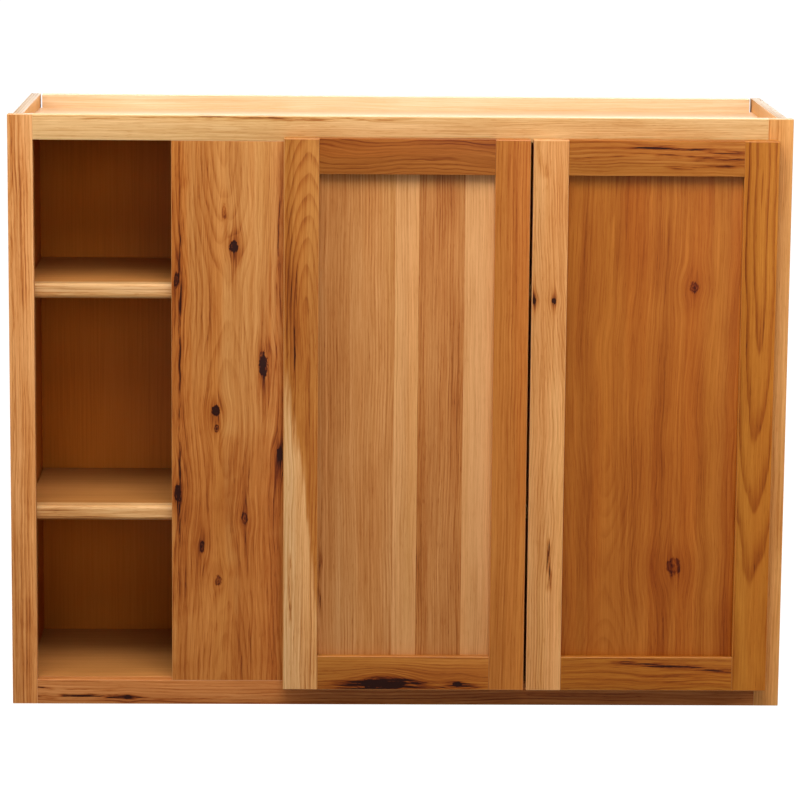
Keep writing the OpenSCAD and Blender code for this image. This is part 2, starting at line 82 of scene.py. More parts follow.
class Shader:
    """One material, with short calls for the nodes it is made of."""

    def __init__(self, name):
        self.material = bpy.data.materials.new(name)
        self.material.use_nodes = True
        self.tree = self.material.node_tree
        self.tree.nodes.clear()
        self.out = self.tree.nodes.new("ShaderNodeOutputMaterial")
        self.bsdf = self.tree.nodes.new("ShaderNodeBsdfPrincipled")
        self.tree.links.new(self.bsdf.outputs[0], self.out.inputs[0])
        self.coord = self.tree.nodes.new("ShaderNodeTexCoord")

    def put(self, socket, value):
        if isinstance(value, bpy.types.NodeSocket):
            self.tree.links.new(value, socket)
        else:
            socket.default_value = value

    def math(self, op, a, b=None, c=None, clamp=False):
        n = self.tree.nodes.new("ShaderNodeMath")
        n.operation, n.use_clamp = op, clamp
        for i, v in enumerate((a, b, c)):
            if v is not None:
                self.put(n.inputs[i], v)
        return n.outputs[0]

    def add(self, *terms):
        total = terms[0]
        for t in terms[1:]:
            total = self.math("ADD", total, t)
        return total

    def mul(self, a, b):
        return self.math("MULTIPLY", a, b)

    def centred(self, a, size):
        """a from 0 to 1 as a swing of that size either side of 0."""
        return self.math("MULTIPLY_ADD", a, 2 * size, -size)

    def bell(self, x):
        """1 where x is 0, falling to 0 on both sides."""
        return self.math("EXPONENT", self.mul(self.mul(x, x), -1.0))

    def vector(self, op, a, b, c=None):
        n = self.tree.nodes.new("ShaderNodeVectorMath")
        n.operation = op
        for i, v in enumerate((a, b, c)):
            if v is not None:
                self.put(n.inputs[i], v)
        return n.outputs[0]

    def split(self, v):
        n = self.tree.nodes.new("ShaderNodeSeparateXYZ")
        self.put(n.inputs[0], v)
        return n.outputs

    def join(self, x, y, z):
        n = self.tree.nodes.new("ShaderNodeCombineXYZ")
        for i, v in enumerate((x, y, z)):
            self.put(n.inputs[i], v)
        return n.outputs[0]

    def from_corner(self, node, axes):
        """Distances from the node's lowest corner: x, y and z, then along the grain, across the
        face and through the thickness."""
        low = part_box(node)[0]
        xyz = self.split(self.vector("SUBTRACT", self.coord.outputs["Object"], tuple(low)))
        return xyz, [xyz[AXIS[a]] for a in axes]

    def noise(self, v, detail=2.0, rough=0.5):
        n = self.tree.nodes.new("ShaderNodeTexNoise")
        self.put(n.inputs["Vector"], v)
        n.inputs["Scale"].default_value = 1.0
        n.inputs["Detail"].default_value = detail
        n.inputs["Roughness"].default_value = rough
        return n.outputs["Fac"]

    def even_noise(self, cycles, detail=2.0, rough=0.5):
        """Noise with as many cycles per metre each way, or one number for each of x, y and z."""
        if not isinstance(cycles, tuple):
            cycles = (cycles, cycles, cycles)
        return self.noise(self.vector("MULTIPLY", self.coord.outputs["Object"], cycles), detail, rough)

    def smooth(self, v, low, high, to_low=0.0, to_high=1.0):
        n = self.tree.nodes.new("ShaderNodeMapRange")
        n.interpolation_type = "SMOOTHSTEP"
        for name, x in (("Value", v), ("From Min", low), ("From Max", high),
                        ("To Min", to_low), ("To Max", to_high)):
            self.put(n.inputs[name], x)
        return n.outputs["Result"]

    def spread(self, v, size, low=0.30, high=0.70):
        """A noise, which keeps near its middle, drawn out to a swing of that size either side of 0."""
        return self.smooth(v, low, high, -size, size)

    def ramp(self, v, stops):
        """stops: (place, colour), the colour as on screen or in linear numbers."""
        n = self.tree.nodes.new("ShaderNodeValToRGB")
        self.put(n.inputs[0], v)
        e = n.color_ramp.elements
        while len(e) < len(stops):
            e.new(0.5)
        for i, (place, colour) in enumerate(stops):
            e[i].position = place
            e[i].color = lin(colour) if isinstance(colour, str) else colour
        return n.outputs[0]

    def mix(self, f, a, b, kind="MIX"):
        n = self.tree.nodes.new("ShaderNodeMix")
        n.data_type, n.blend_type = "RGBA", kind
        self.put(n.inputs[0], f)
        self.put(n.inputs[6], a)
        self.put(n.inputs[7], b)
        return n.outputs[2]

    def bump(self, height, strength, distance):
        n = self.tree.nodes.new("ShaderNodeBump")
        n.inputs["Strength"].default_value = strength
        n.inputs["Distance"].default_value = distance
        self.put(n.inputs["Height"], height)
        self.tree.links.new(n.outputs[0], self.bsdf.inputs["Normal"])

    def set(self, **values):
        """Sockets of the main shader, with _ for the space in a name."""
        for k, v in values.items():
            self.put(self.bsdf.inputs[k.replace("_", " ")], v)


# ------------------------------------------------------------------------ wood

# From sapwood to the black of a knot: the tone, and the factors on the wood's middle colour
SHADES = (
    (0.0, (1.36, 1.60, 2.05)),
    (0.22, (1.15, 1.25, 1.40)),
    (0.42, (0.95, 0.91, 0.83)),
    (0.62, (0.71, 0.53, 0.34)),
    (0.82, (0.33, 0.16, 0.08)),
    (1.0, (0.045, 0.016, 0.010)),
)
PALEST = 0.95  # no shade reflects more than this
SAPWOOD = "D3A470"
# The factors of the redder and the greener wood
RED = (1.0, 0.84, 0.64, 1.0)
OLIVE = (0.95, 1.0, 0.88, 1.0)

# The noises of a solid board: cycles per metre along and across the grain, octaves, roughness,
# and an offset that keeps the layers apart
GRAIN = {
    "slow": (2.2, 4.0, 2.0, 0.5, 0.0),
    "quick": (9.0, 18.0, 3.0, 0.5, 3.1),
    "depth": (2.1, 1.0, 1.0, 0.5, 9.0),
    "ragged": (110.0, 200.0, 3.0, 0.6, 0.0),
    "flame": (14.0, 420.0, 2.0, 0.6, 3.0),
    "ring": (10.0, 60.0, 2.0, 0.5, 5.0),
    "late": (1.5, 38.0, 2.0, 0.5, 7.0),
    "fine": (60.0, 3600.0, 2.0, 0.6, 13.0),
    "pore": (70.0, 1300.0, 1.0, 0.5, 17.0),
    "blotch": (5.0, 16.0, 2.0, 0.5, 23.0),
    "streak": (20.0, 20.0, 2.0, 0.5, 31.0),
    "torn": (26.0, 520.0, 3.0, 0.65, 37.0),
    "border": (14.0, 300.0, 2.0, 0.5, 61.0),
    "warm": (1.4, 30.0, 2.0, 0.5, 53.0),
}
# The same for the layers that follow the grain as it leans and parts
LEANING = {
    "broad": (0.9, 42.0, 2.0, 0.6, 19.0),
    "mid": (2.4, 300.0, 3.0, 0.6, 43.0),
    "hair": (14.0, 700.0, 3.0, 0.6, 11.0),
    "olive": (1.2, 24.0, 2.0, 0.6, 67.0),
}
# The same for a veneer
VENEER = {
    "cloud": (0.9, 9.0, 2.0, 0.5, 0.0),
    "hair": (7.0, 330.0, 3.0, 0.6, 5.0),
    "fleck": (150.0, 900.0, 1.0, 0.5, 9.0),
    "grit": (30.0, 260.0, 3.0, 0.6, 21.0),
}

# How fast each reach of a knot falls off, along and across the grain, in half sizes squared
SWELL_FALL = (0.07, 0.07)
HALO_FALL = (0.10, 0.20)
FLAME_FALL = (0.022, 0.50)
# How dark each part of a knot is
RIM, EYE, BODY, HALO, FLAME = 0.30, 0.35, 0.30, 0.27, 0.30
STREAK_RED = 0.35  # how much a streak reddens the wood, against a knot
TORN_BELOW = 0.02  # a streak narrower than this is torn into threads


def shades(code):
    """The run of a wood's colours about its middle colour."""
    middle = lin(code)
    return [(at, [min(PALEST, middle[i] * f[i]) for i in range(3)] + [1.0]) for at, f in SHADES]


def timber(name, node, axes, tint, seed=0.0, base=0.34, pith=(0.2, 0.03), ring=0.004, wave=0.006,
           lines=0.16, bands=0.08, mids=0.10, fibre=0.10, blotch=0.07, pores=0.12, red=0.5, faint=0.15,
           arches=(), knots=(), streaks=(), fades=(), strips=(), sap=()):
    """Solid wood cut from a log. Distances are in metres from the node's lowest corner: g along
    the grain, t across the face and n through the thickness. axes names them, as "zxy".
    pith is how far the log's middle lies across and behind the face, ring is the width of a
    year, and wave is how far the grain wanders. The tone, from 0 to 1, starts at base and runs
    through the shades of tint. lines, bands, mids, fibre, blotch and pores are how much each
    layer darkens it, red is how far it turns red, and faint is how much shows of the rings
    where they are weakest.
    arches: (g, length, rise), where the rings close into a cathedral.
    knots: (g, t, half length, half width, strength).
    streaks: (g0, g1, t0, t1, half width, strength), each from (g0, t0) to (g1, t1). A broad one over a
    whole stile is painted shade, darker and redder towards the bottom.
    fades: (g, t, slope, softness, strength), which darkens or pales one side of a slanted line; some fades
    are painted shade, as under the doors and on the lower half of the nosings.
    sap: the same numbers, which turns that side to sapwood.
    strips: (t, tone, shift), a glue line and what follows it."""
    s = Shader(name)
    g, t, n = s.from_corner(node, axes)[1]
    strip_tone, t_board = None, t
    for glue, tone, shift in strips:
        past = s.math("GREATER_THAN", t, glue)
        t_board = s.math("MULTIPLY_ADD", past, shift, t_board)
        step = s.mul(past, tone)
        strip_tone = step if strip_tone is None else s.add(strip_tone, step)
    board = s.join(g, t_board, n)

    def layer(key, extra=0.0):
        along, across, octaves, rough, off = GRAIN[key]
        off += extra
        shift = (seed + off, 1.7 * seed - off, 0.6 * seed)
        return s.noise(s.vector("MULTIPLY_ADD", board, (along, across, across), shift), octaves, rough)

    slow = layer("slow")
    quick = layer("quick")
    drift = s.add(s.centred(slow, 1.6 * wave), s.centred(quick, 0.5 * wave))
    behind = s.add(pith[1], n, s.centred(layer("depth"), 0.8 * wave))
    for arch_g, length, rise in arches:
        behind = s.add(behind, s.mul(s.bell(s.math("MULTIPLY_ADD", g, 1 / length, -arch_g / length)), rise))

    def near(knot, fall):
        """1 at a knot's middle and falling off along and across the grain."""
        return s.math("EXPONENT", s.add(s.mul(knot[0], -fall[0]), s.mul(knot[1], -fall[1])))

    knot_tone = None
    for knot_g, knot_t, half_l, half_w, strength in knots:
        dg = s.math("MULTIPLY_ADD", g, 1 / half_l, -knot_g / half_l)
        dt = s.math("MULTIPLY_ADD", t, 1 / half_w, -knot_t / half_w)
        knot = (s.mul(dg, dg), s.mul(dt, dt))
        # The grain parts round the knot
        swell = near(knot, SWELL_FALL)
        drift = s.add(drift, s.mul(s.mul(dt, swell), -0.66 * half_w))
        behind = s.add(behind, s.mul(swell, 0.5 * half_w))
        ragged = s.add(s.math("SQRT", s.add(*knot)), s.spread(layer("ragged", knot_g), 0.30))
        rim = s.mul(s.smooth(ragged, 0.45, 0.80), s.smooth(ragged, 1.30, 0.95))
        eye = s.smooth(ragged, 0.50, 0.05)
        body = s.smooth(ragged, 1.20, 0.80)
        halo = near(knot, HALO_FALL)
        flame = s.mul(near(knot, FLAME_FALL), s.smooth(layer("flame", knot_t), 0.42, 0.64))
        parts = ((rim, RIM), (eye, EYE), (body, BODY), (halo, HALO), (flame, FLAME))
        here = s.mul(s.add(*(s.mul(part, dark) for part, dark in parts)), strength)
        knot_tone = here if knot_tone is None else s.add(knot_tone, here)

    across = s.add(t_board, drift, -pith[0])
    radius = s.math("SQRT", s.add(s.mul(across, across), s.mul(behind, behind)))
    phase = s.math("FRACT", s.add(s.mul(radius, 1 / ring), s.centred(layer("ring"), 0.30)))
    late = s.mul(s.smooth(phase, 0.35, 0.92), s.smooth(phase, 1.0, 0.88))
    late = s.mul(late, s.smooth(layer("late"), 0.25, 0.7, faint, 1.0))
    lean = s.join(g, s.add(t_board, drift), n)

    def leaning(key):
        along, across, octaves, rough, off = LEANING[key]
        shift = (seed + off, seed, -off)
        return s.noise(s.vector("MULTIPLY_ADD", lean, (along, across, across), shift), octaves, rough)

    hair = leaning("hair")
    fine = layer("fine")
    pore = s.smooth(layer("pore"), 0.60, 0.70)
    tone = s.add(
        base,
        s.mul(late, lines),
        s.spread(leaning("broad"), bands),
        s.spread(leaning("mid"), mids),
        s.spread(hair, fibre),
        s.centred(fine, 0.6 * fibre),
        s.spread(layer("blotch"), blotch),
        s.mul(pore, pores),
    )
    stain_and_shade = knot_tone
    for g0, g1, t0, t1, half_w, strength in streaks:
        start = s.smooth(g, g0, g0 + 0.15 * (g1 - g0))
        end = s.smooth(g, g1, g1 - 0.25 * (g1 - g0))
        slope = (t1 - t0) / (g1 - g0)
        middle = s.math("MULTIPLY_ADD", g, slope, t0 - slope * g0)
        off_line = s.add(s.math("SUBTRACT", t, middle), s.spread(layer("streak", g0), 0.6 * half_w),
                         s.centred(slow, 2.0 * half_w))
        inside = s.mul(s.mul(start, end), s.bell(s.mul(off_line, 1 / half_w)))
        red_here = s.mul(inside, STREAK_RED)
        stain_and_shade = red_here if stain_and_shade is None else s.add(stain_and_shade, red_here)
        if half_w < TORN_BELOW:
            inside = s.mul(inside, s.smooth(layer("torn", t0), 0.40, 0.60, 0.12, 1.0))
        tone = s.add(tone, s.mul(inside, strength))

    def beyond(line_g, line_t, slope, soft, strength):
        """How far past a slanted line, from 0 to strength."""
        straight = s.math("MULTIPLY_ADD", g, -slope, slope * line_g - line_t)
        side = s.add(t, straight, s.centred(slow, 2.2 * wave), s.centred(quick, wave),
                     s.spread(layer("border"), 0.7 * soft))
        return s.smooth(side, -soft, soft, 0.0, strength)

    for fade in fades:
        tone = s.add(tone, beyond(*fade))
    if strip_tone is not None:
        tone = s.add(tone, strip_tone)
    if knot_tone is not None:
        tone = s.add(tone, knot_tone)
    color = s.ramp(tone, shades(tint))
    for border in sap:
        color = s.mix(beyond(*border), color, s.ramp(tone, shades(SAPWOOD)))
    # Heartwood runs redder in places, and the wood round a knot always does
    warm = s.smooth(layer("warm"), 0.42, 0.66)
    # Knots and streaks redden the wood round them; for the broad streaks this reddening is painted shade
    if stain_and_shade is not None:
        warm = s.math("ADD", warm, s.mul(stain_and_shade, 2.0), clamp=True)
    color = s.mix(s.mul(warm, red), color, RED, "MULTIPLY")
    olive = s.smooth(leaning("olive"), 0.46, 0.70)
    color = s.mix(s.mul(olive, 0.4), color, OLIVE, "MULTIPLY")
    s.set(Base_Color=color, Roughness=s.math("MULTIPLY_ADD", hair, ROUGHNESS_SWING, WOOD_ROUGHNESS))
    s.bsdf.inputs[SPECULAR].default_value = WOOD_SPECULAR
    relief = s.add(s.mul(hair, 0.5), s.mul(fine, 0.35), s.mul(pore, -0.9), s.mul(late, 0.2))
    s.bump(relief, 0.16, 0.0004)
    return s.material


PLIES = 7
FIGURE = 0.16  # how far a veneer's tone swings


def ply(name, node, axes, stops, shaded_inside=None, seed=0.0, base=0.45):
    """Veneered plywood: peeled face veneer, with the plies showing on the edges. finish: (stops, side,
    height) gives the face that looks to that side, up to a height, a darker and redder copy of the veneer,
    painted shade for the dim inside of the cabinet."""
    s = Shader(name)
    xyz, (g, t, n) = s.from_corner(node, axes)
    board = s.join(g, t, n)

    def layer(key):
        along, across, octaves, rough, off = VENEER[key]
        shift = (seed + off, 1.3 * seed - off, seed)
        return s.noise(s.vector("MULTIPLY_ADD", board, (along, across, across), shift), octaves, rough)

    hair = layer("hair")
    fleck = s.smooth(layer("fleck"), 0.64, 0.72)
    tone = s.add(base, s.spread(layer("cloud"), 0.5 * FIGURE), s.spread(hair, 0.5 * FIGURE),
                 s.mul(fleck, 0.3 * FIGURE))
    face = s.ramp(tone, stops)
    # Plies, seen where the surface looks across the board's thickness
    low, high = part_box(node)
    axis = AXIS[axes[2]]
    odd = s.smooth(s.math("PINGPONG", s.mul(n, PLIES / (high[axis] - low[axis])), 1.0), 0.40, 0.60)
    edge = s.mix(s.add(s.mul(odd, 0.75), s.centred(layer("grit"), 0.3)), lin("AC8F6E"), lin("957550"))
    normal = s.split(s.coord.outputs["Normal"])[axis]
    on_edge = s.smooth(s.math("ABSOLUTE", normal), 0.7, 0.4)
    # Painted shade: the faces inside the cabinet take the darker, redder stops
    if shaded_inside is not None:
        shade_stops, side, height = shaded_inside
        in_shade = s.smooth(s.mul(normal, side), 0.3, 0.6)
        if height is not None:
            in_shade = s.mul(in_shade, s.smooth(xyz[2], height, height - 0.002))
        face = s.mix(in_shade, face, s.ramp(tone, shade_stops))
    s.set(Base_Color=s.mix(on_edge, face, edge),
          Roughness=s.math("MULTIPLY_ADD", hair, ROUGHNESS_SWING, VENEER_ROUGHNESS))
    s.bsdf.inputs[SPECULAR].default_value = WOOD_SPECULAR
    s.bump(s.add(s.mul(hair, 0.5), s.mul(fleck, -0.4), s.mul(s.mul(on_edge, odd), 0.8)), 0.14, 0.0004)
    return s.material


def sanded_and_highlit(name, tint):
    """The eased edges of a board, a little paler than its faces: partly where sanding has left them so,
    partly a painted highlight along the edges.
    """
    s = Shader(name)
    wear_and_highlight = s.even_noise(40.0, 3.0, 0.6)
    deep = lin(tint)
    # Painted highlight, with some real sanding: the edges are 15 per cent paler than the board
    pale = [min(0.9, 1.15 * c) for c in deep[:3]] + [1.0]
    s.set(Base_Color=s.mix(wear_and_highlight, pale, deep), Roughness=s.math("MULTIPLY_ADD", wear_and_highlight, 0.1, 0.35))
    s.bump(wear_and_highlight, 0.1, 0.0002)
    return s.material


# ----------------------------------------------------------- metal and plastic


def metal(name, color, rough):
    """Plated steel with a faint brushed grain and a little wear."""
    s = Shader(name)
    brushed = s.even_noise((900.0, 60.0, 900.0), 3.0, 0.6)
    haze = s.even_noise(70.0, 3.0, 0.6)
    s.set(Base_Color=s.mix(s.mul(haze, 0.5), lin(color[0]), lin(color[1])),
          Roughness=s.add(rough, s.centred(brushed, 0.08), s.centred(haze, 0.06)))
    s.bsdf.inputs["Metallic"].default_value = 1.0
    s.bump(s.add(brushed, s.mul(haze, 0.4)), 0.08, 0.0002)
    return s.material


def clear_plastic(name):
    """Soft clear bumper, very slightly hazy."""
    s = Shader(name)
    haze = s.even_noise(400.0)
    s.set(Base_Color=s.mix(haze, lin("F2F4F6"), lin("E2E6EA")),
          Roughness=s.math("MULTIPLY_ADD", haze, 0.15, 0.12))
    s.bsdf.inputs["Transmission Weight"].default_value = 0.75
    s.bsdf.inputs["IOR"].default_value = 1.46
    s.bump(haze, 0.1, 0.0002)
    return s.material


# ---------------------------------------------------------------------- boards

# What each solid board looks like, in the terms of timber
WOOD = {
    "frame_left_stile": dict(
        axes="zxy", tint="CA9059", seed=3.0, pith=(0.16, 0.03), ring=0.0042, bands=0.11, mids=0.12,
        streaks=[
            # Painted shade: this first, broad streak darkens and reddens the lower part of the stile, where
            # the light falls off
            (-0.25, 0.45, 0.016, 0.016, 0.04, 0.14),
            (0.3, 0.9, 0.003, 0.006, 0.0022, 0.3),
            (0.5, 0.78, 0.02, 0.019, 0.003, 0.22),
        ],
    ),
    "frame_right_stile": dict(
        axes="zxy", tint="CD8F50", seed=8.0, pith=(-0.12, 0.02), bands=0.08, mids=0.07,
    ),
    "frame_top_rail": dict(
        axes="xzy", tint="D0A56F", seed=12.0, pith=(0.1, 0.02), ring=0.0035, wave=0.004, lines=0.08,
        bands=0.04, mids=0.05, red=0.25,
        streaks=[(0.17, 0.5, 0.03, 0.027, 0.0022, 0.42), (0.05, 0.2, 0.026, 0.03, 0.001, 0.3)],
    ),
    "frame_bottom_rail": dict(
        axes="xzy", tint="B4733E", seed=17.0, pith=(0.06, 0.02), bands=0.1, mids=0.1, red=0.3,
        knots=[(0.117, 0.009, 0.0034, 0.0024, 0.9)],
        streaks=[
            (0.022, 0.15, 0.012, 0.0088, 0.0024, 1.05),
            (-0.02, 0.03, 0.009, 0.009, 0.0018, 0.95),
            (-0.02, 0.026, 0.022, 0.0205, 0.0014, 0.9),
            (0.03, 0.11, 0.02, 0.0185, 0.001, 0.4),
            (0.14, 0.26, 0.006, 0.011, 0.0014, 0.35),
        ],
        # Painted shadow: the fade darkens the rail to the right of g = 0.31, where the doors shade it
        fades=[(0.31, 0.0, -0.5, 0.03, 0.1)],
    ),
    "blind_stile": dict(
        axes="zxy", tint="B4793F", seed=21.0, pith=(0.066, 0.01), ring=0.0056, wave=0.011, lines=0.16,
        bands=0.09, mids=0.1, blotch=0.06, red=0.9, faint=0.3,
        arches=[(0.5, 0.13, 0.03), (0.2, 0.16, 0.026)],
        knots=[
            (0.564, 0.0785, 0.0065, 0.005, 1.0),
            (0.609, 0.067, 0.008, 0.0025, 0.4),
            (0.414, 0.117, 0.013, 0.005, 0.95),
            (0.353, 0.0565, 0.006, 0.0048, 1.0),
            (0.33, 0.0575, 0.0045, 0.003, 0.6),
            (0.213, 0.093, 0.008, 0.004, 0.4),
            (0.1746, 0.0385, 0.008, 0.003, 0.5),
            (0.132, 0.0595, 0.007, 0.004, 0.6),
            (0.521, 0.0065, 0.01, 0.003, 0.6),
            (0.2457, 0.007, 0.01, 0.004, 0.7),
            (0.2975, 0.138, 0.007, 0.0035, 0.7),
        ],
        streaks=[
            (0.15, 0.6, 0.008, 0.01, 0.0018, 0.45),
            (0.55, 0.698, 0.012, 0.015, 0.005, 0.16),
            (0.22, 0.74, 0.134, 0.139, 0.0085, 0.2),
            (0.38, 0.66, 0.13, 0.136, 0.0016, 0.42),
            (0.33, 0.6, 0.122, 0.124, 0.0014, 0.22),
            (0.02, 0.2, 0.04, 0.034, 0.0014, 0.2),
            # Painted shade: this broad streak darkens and reddens the lower part of the stile, where the
            # light falls off
            (-0.2, 0.42, 0.075, 0.075, 0.1, 0.13),
            (-0.05, 0.8, 0.006, 0.012, 0.008, 0.13),
        ],
    ),
    "left_door_hinge_stile": dict(
        axes="zxy", tint="AC7032", seed=27.0, base=0.36, pith=(0.03, 0.002), ring=0.0042, wave=0.007,
        lines=0.3, bands=0.07,
        arches=[(0.8, 0.22, 0.04)],
        streaks=[(0.08, 0.19, 0.009, 0.008, 0.002, 0.45), (0.3, 0.6, 0.012, 0.018, 0.0015, 0.3)],
        fades=[(0.435, 0.012, -0.128, 0.008, 0.14), (0.435, 0.03, -0.128, 0.01, -0.1)],
        sap=[(0.435, 0.002, -0.128, -0.0045, 0.86)],
    ),
    "left_door_free_stile": dict(
        axes="zxy", tint="AC682A", seed=31.0, pith=(0.12, 0.02), ring=0.0038, bands=0.05,
    ),
    "left_door_top_rail": dict(
        axes="xzy", tint="92521C", seed=35.0, base=0.36, pith=(0.02, 0.004), ring=0.0046, wave=0.022,
        lines=0.34, bands=0.1, mids=0.14, blotch=0.12, faint=0.4,
    ),
    "left_door_bottom_rail": dict(
        axes="xzy", tint="A06325", seed=39.0, pith=(0.07, 0.02), wave=0.01, lines=0.2, mids=0.12,
        knots=[
            (0.186, 0.008, 0.005, 0.0036, 0.8),
            (0.075, 0.0085, 0.013, 0.0052, 0.7),
            (0.106, 0.0078, 0.012, 0.004, 0.75),
            (0.09, 0.01, 0.007, 0.004, 0.6),
        ],
        streaks=[
            (0.02, 0.15, 0.0065, 0.006, 0.006, 0.42),
            (0.12, 0.226, 0.009, 0.005, 0.0022, 0.65),
            (0.0, 0.226, 0.001, 0.001, 0.003, 0.22),
        ],
    ),
    "left_door_panel": dict(
        axes="zxy", tint="B87E48", seed=43.0, pith=(0.16, 0.03), ring=0.0036, bands=0.06, mids=0.08,
        red=0.3,
        streaks=[
            (-0.05, 0.17, 0.004, 0.006, 0.0045, 0.42),
            (0.05, 0.3, 0.008, 0.012, 0.0015, 0.3),
        ],
        strips=[(0.1015, -0.18, 0.37), (0.1315, 0.32, 0.41), (0.1895, -0.33, 0.53)],
    ),
    "right_door_free_stile": dict(
        axes="zxy", tint="C78D55", seed=47.0, pith=(0.07, 0.01), ring=0.0034, wave=0.01, red=0.4,
        arches=[(0.35, 0.15, 0.03)],
        knots=[(0.5075, 0.0035, 0.0034, 0.0026, 0.9), (0.5075, 0.028, 0.0034, 0.0026, 0.9)],
        streaks=[
            (0.125, 0.21, 0.027, 0.028, 0.0024, 0.75),
            (0.66, 0.72, 0.02, 0.012, 0.006, 0.25),
        ],
    ),
    "right_door_hinge_stile": dict(
        axes="zxy", tint="AB671F", seed=52.0, base=0.28, pith=(0.024, 0.0), ring=0.0095, wave=0.006,
        lines=0.36, bands=0.04, mids=0.06, blotch=0.04, red=0.3, faint=0.7,
        arches=[(0.06, 0.3, 0.042)],
        fades=[(0.07, 0.02, -0.22, 0.004, 0.13), (0.03, 0.034, -0.3, 0.006, -0.1)],
    ),
    "right_door_top_rail": dict(
        axes="xzy", tint="A76628", seed=56.0, pith=(0.05, 0.01), wave=0.014, lines=0.24, mids=0.12,
        streaks=[
            (0.07, 0.26, 0.038, 0.03, 0.004, 0.6),
            (0.1, 0.25, 0.027, 0.022, 0.003, 0.6),
            (0.12, 0.25, 0.011, 0.016, 0.0024, 0.5),
            (0.0, 0.12, 0.02, 0.03, 0.0014, 0.3),
        ],
    ),
    "right_door_bottom_rail": dict(
        axes="xzy", tint="9F601D", seed=61.0, pith=(0.03, 0.01), wave=0.016, lines=0.28, mids=0.12,
        streaks=[
            (0.06, 0.26, 0.035, 0.028, 0.0036, 0.6),
            (0.1, 0.25, 0.018, 0.022, 0.003, 0.22),
            (0.12, 0.25, 0.011, 0.009, 0.002, 0.18),
        ],
    ),
    "right_door_panel": dict(
        axes="zxy", tint="A35C1D", seed=66.0, pith=(0.06, 0.012), ring=0.005, wave=0.012, lines=0.12,
        bands=0.13, mids=0.07, blotch=0.09,
        arches=[(0.1, 0.12, 0.03)],
        knots=[(0.485, 0.167, 0.007, 0.0055, 0.5), (0.124, 0.149, 0.01, 0.008, 0.45)],
    ),
    "upper_shelf_nosing": dict(
        axes="xzy", tint="D0A26F", seed=71.0, pith=(0.08, 0.02), bands=0.04, mids=0.05, red=0.2,
        # Painted shade: the fade darkens the lower half of the nosing, where its rounded face turns from
        # the light
        fades=[(0.0, 0.0085, 0.0, -0.007, 0.2)],
    ),
    "lower_shelf_nosing": dict(
        axes="xzy", tint="D4A773", seed=75.0, pith=(0.08, 0.02), bands=0.04, mids=0.05, red=0.2,
        # Painted shade: the fade darkens the lower half of the nosing, where its rounded face turns from
        # the light
        fades=[(0.0, 0.0085, 0.0, -0.007, 0.2)],
    ),
    "top_hanging_rail": dict(
        axes="xzy", tint="D6B792", seed=79.0, pith=(0.1, 0.03), ring=0.005, lines=0.05, bands=0.03,
        mids=0.04, fibre=0.05, pores=0.04, red=0.1,
    ),
    "bottom_hanging_rail": dict(
        axes="xzy", tint="D6B792", seed=83.0, pith=(0.1, 0.03), ring=0.005, lines=0.05, bands=0.03,
        mids=0.04, fibre=0.05, pores=0.04, red=0.1,
    ),
    "frame_dowels": dict(
        axes="xzy", tint="D9B27C", seed=87.0, ring=0.003,
    ),
}

# Veneer colours, from the palest tone to the darkest
MAPLE = [(0.0, "E2C39C"), (0.4, "D6AE84"), (0.7, "C69C6E"), (1.0, "A5754A")]
GOLD = [(0.0, "E2B27A"), (0.4, "D29D62"), (0.7, "BA8246"), (1.0, "8C5A2C")]
# AMBER is painted shade: a darker, redder copy of the veneer for the faces inside the cabinet
AMBER = [(0.0, "E08E3C"), (0.4, "CE7826"), (0.7, "B06018"), (1.0, "7C4010")]
HONEY = [(0.0, "CC8E52"), (0.4, "B67A40"), (0.7, "9B652F"), (1.0, "74481A")]

# Painted shade: the darker amber copy of the veneer goes on the faces inside the cabinet, below the top
# panel's upper face
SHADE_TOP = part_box("top_panel")[1][2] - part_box("left_side")[0][2]
PLY = {
    "left_side": dict(axes="zyx", seed=2.0, base=0.34, stops=GOLD, shaded_inside=(AMBER, 1.0, SHADE_TOP)),
    "right_side": dict(axes="zyx", seed=7.0, base=0.34, stops=GOLD, shaded_inside=(AMBER, -1.0, SHADE_TOP)),
    "top_panel": dict(axes="xyz", seed=11.0, stops=MAPLE, shaded_inside=(AMBER, -1.0, None)),
    "bottom_panel": dict(axes="xyz", seed=15.0, stops=HONEY),
    "back_panel": dict(axes="zxy", seed=19.0, base=0.34, stops=MAPLE, shaded_inside=(AMBER, -1.0, SHADE_TOP)),
    "upper_shelf": dict(axes="xyz", seed=23.0, stops=HONEY),
    "lower_shelf": dict(axes="xyz", seed=29.0, stops=HONEY),
}


# ---------------------------------------------------------------------- pieces

DOORS = {}
for side in ("left", "right"):
    boxes = [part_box(f"{side}_door_{part}") for part in ("hinge_stile", "free_stile")]
    DOORS[side] = (Vector([min(b[0][i] for b in boxes) for i in range(3)]),
                   Vector([max(b[1][i] for b in boxes) for i in range(3)]))
FRAME_BOX = (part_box("frame_left_stile")[0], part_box("frame_right_stile")[1])

# Distances in metres: points closer than this are one, and how near a point on a box is to it
SAME_POINT = 1e-6
ON_BOX = 1e-5
# Faces that meet flatter than this are one face, and edges sharper than CORNER are eased
FLAT = math.radians(0.5)
CORNER = math.radians(40)
SHORTEST_EASED = 0.006
# Widths of the fine easing, then of the rounder easing on the outer box
FINE = 0.0005
DOOR_FINE = 0.0008
VENEER_FINE = 0.00025
DOOR_ROUND = 0.0012
FRAME_ROUND = 0.0008
RAIL_ROUND = 0.0006
VENEER_ROUND = 0.0004
BEVEL_WEIGHT = "bevel_weight_edge"


def faces_shared(a, b, box):
    """How many sides of the box both points lie on."""
    return sum(abs(a[i] - box[k][i]) < ON_BOX and abs(b[i] - box[k][i]) < ON_BOX
               for i in range(3) for k in (0, 1))


